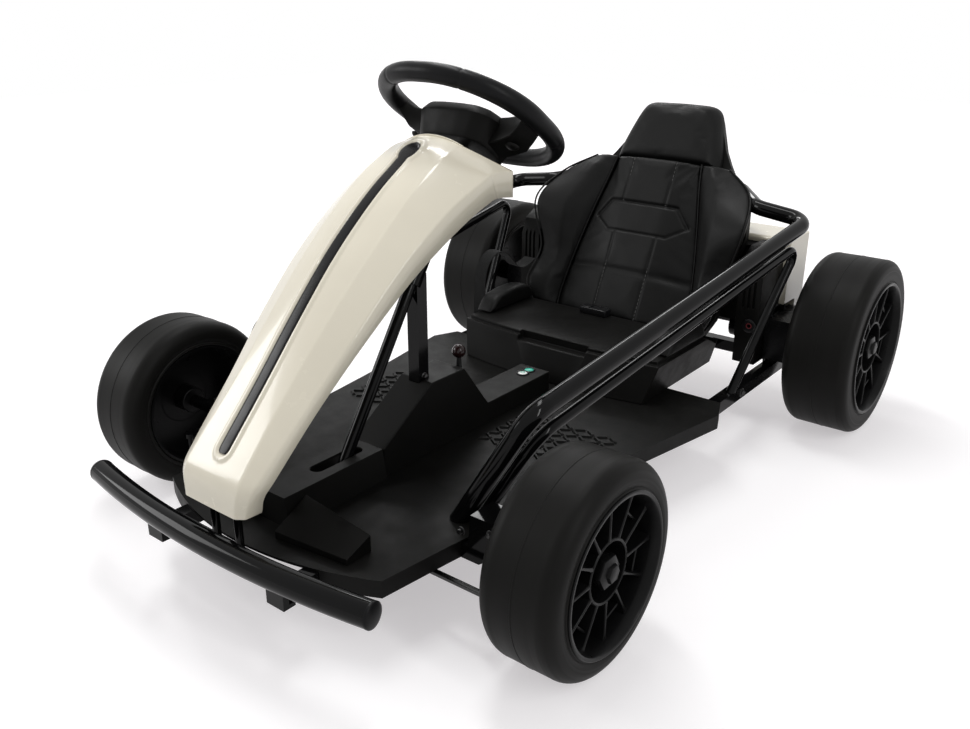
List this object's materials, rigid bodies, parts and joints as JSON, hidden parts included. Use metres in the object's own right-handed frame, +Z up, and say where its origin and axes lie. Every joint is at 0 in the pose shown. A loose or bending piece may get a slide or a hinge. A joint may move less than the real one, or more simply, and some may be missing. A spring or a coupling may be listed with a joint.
{
  "type": "kids electric go-kart",
  "caption": "Low electric go-kart for a child, with a bowed front bumper, tall faceted nose, tilted steering wheel, bucket seat, tubular side hoop and wheels with thin-spoked rims",
  "frame": {"origin": "on the ground, under the middle of the kart's length and width", "axes": "+Y points to the rear, +X to the driver's left, +Z up"},
  "size_m": [0.8306, 1.185, 0.6124],
  "materials": {
    "ivory_gloss": "glossy moulded plastic, warm ivory",
    "gloss_black": "glossy black plastic",
    "matt_black": "matt black moulded plastic",
    "button_white": "white push button",
    "knob_dark_red": "dark red to black ball knob",
    "battery_case": "plain battery case",
    "socket_red": "red socket ring",
    "belt_webbing": "black webbing",
    "soft_black": "soft black grip",
    "frame_paint": "gloss black paint on steel tube",
    "zinc_steel": "zinc-plated steel",
    "tyre_rubber": "black tread rubber",
    "rim_black": "satin black rim",
    "seat_leather": "black leather-look cover"
  },
  "bodies": {
    "root": {"back_wing_left": "seat_leather", "back_wing_right": "seat_leather", "battery_block": "battery_case", "belt_buckle": "gloss_black", "centre_console": "matt_black", "charge_socket": "socket_red", "chassis_frame": "frame_paint", "drive_unit_left": "gloss_black", "drive_unit_right": "gloss_black", "floor_pan": "matt_black", "foot_stops": "matt_black", "front_axle": "frame_paint", "front_bumper": "frame_paint", "headrest_pad": "seat_leather", "lower_rail_left": "frame_paint", "lower_rail_right": "frame_paint", "nose_cowl": "ivory_gloss", "nose_strip": "gloss_black", "power_buttons": "button_white", "rear_axle": "zinc_steel", "rear_cover": "matt_black", "rear_fascia": "ivory_gloss", "rear_hoop": "frame_paint", "seat_back_pad": "seat_leather", "seat_base": "matt_black", "seat_belt": "belt_webbing", "seat_shell": "matt_black", "selector_lever": "knob_dark_red", "side_rail_left": "frame_paint", "side_rail_right": "frame_paint", "support_post": "frame_paint", "thigh_bolster_left": "seat_leather", "thigh_bolster_right": "seat_leather"},
    "steering": {"steering_shaft": "frame_paint", "steering_ring": "soft_black", "steering_hub": "gloss_black"},
    "knuckle_left": {"knuckle_left": "frame_paint"},
    "knuckle_right": {"knuckle_right": "frame_paint"},
    "track_rod": {"track_rod": "zinc_steel"},
    "wheel_front_left": {"tyre_front_left": "tyre_rubber", "rim_front_left": "rim_black"},
    "wheel_front_right": {"tyre_front_right": "tyre_rubber", "rim_front_right": "rim_black"},
    "wheel_rear_left": {"tyre_rear_left": "tyre_rubber", "rim_rear_left": "rim_black"},
    "wheel_rear_right": {"tyre_rear_right": "tyre_rubber", "rim_rear_right": "rim_black"}
  },
  "joints": [
    {"name": "steering_turn", "type": "hinge", "parent": "root", "child": "steering", "pos_m": [0, -0.361, 0.131], "axis": [0, 0.5446, 0.8387], "range_deg": [-60, 60]},
    {"name": "knuckle_left_turn", "type": "hinge", "parent": "root", "child": "knuckle_left", "pos_m": [0.275, -0.353, 0.115], "axis": [0, 0, 1], "range_deg": [-24, 24]},
    {"name": "knuckle_right_turn", "type": "hinge", "parent": "root", "child": "knuckle_right", "pos_m": [-0.275, -0.353, 0.115], "axis": [0, 0, 1], "range_deg": [-24, 24]},
    {"name": "track_rod_swing", "type": "hinge", "parent": "knuckle_left", "child": "track_rod", "pos_m": [0.275, -0.403, 0.066], "axis": [0, 0, 1], "range_deg": [-24, 24]},
    {"name": "wheel_front_left_spin", "type": "hinge", "parent": "knuckle_left", "child": "wheel_front_left", "pos_m": [0.352, -0.353, 0.1235], "axis": [1, 0, 0], "continuous": true},
    {"name": "wheel_rear_left_spin", "type": "hinge", "parent": "root", "child": "wheel_rear_left", "pos_m": [0.359, 0.447, 0.1455], "axis": [1, 0, 0], "continuous": true},
    {"name": "wheel_front_right_spin", "type": "hinge", "parent": "knuckle_right", "child": "wheel_front_right", "pos_m": [-0.352, -0.353, 0.1235], "axis": [1, 0, 0], "continuous": true},
    {"name": "wheel_rear_right_spin", "type": "hinge", "parent": "root", "child": "wheel_rear_right", "pos_m": [-0.359, 0.447, 0.1455], "axis": [1, 0, 0], "continuous": true}
  ],
  "couplings": [
    {"joint": "knuckle_left_turn", "follows": "steering_turn", "ratio": 0.4},
    {"joint": "knuckle_right_turn", "follows": "steering_turn", "ratio": 0.4},
    {"joint": "track_rod_swing", "follows": "steering_turn", "ratio": -0.4}
  ]
}
